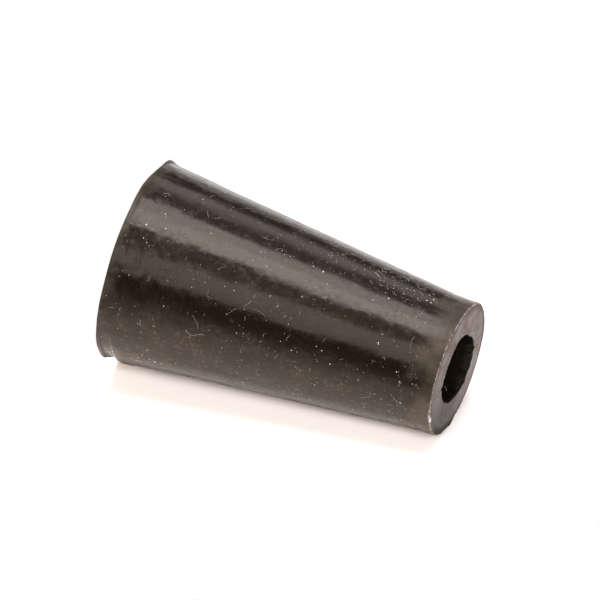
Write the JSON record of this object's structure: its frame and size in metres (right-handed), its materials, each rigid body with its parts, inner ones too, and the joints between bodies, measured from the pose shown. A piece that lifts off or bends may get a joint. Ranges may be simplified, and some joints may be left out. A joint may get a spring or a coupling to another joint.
{
  "type": "rubber stopper",
  "caption": "Tapered black rubber stopper for a test tube or flask neck, with a through bore that grips a glass tube.",
  "frame": {"origin": "centre of the wide end face, which the stopper stands on", "axes": "+Z along the bore from the wide end to the narrow end, +X and +Y across the bore"},
  "size_m": [0.015, 0.015, 0.0251],
  "materials": {
    "black_rubber": "satin"
  },
  "bodies": {
    "root": {"stopper": "black_rubber"}
  },
  "joints": []
}
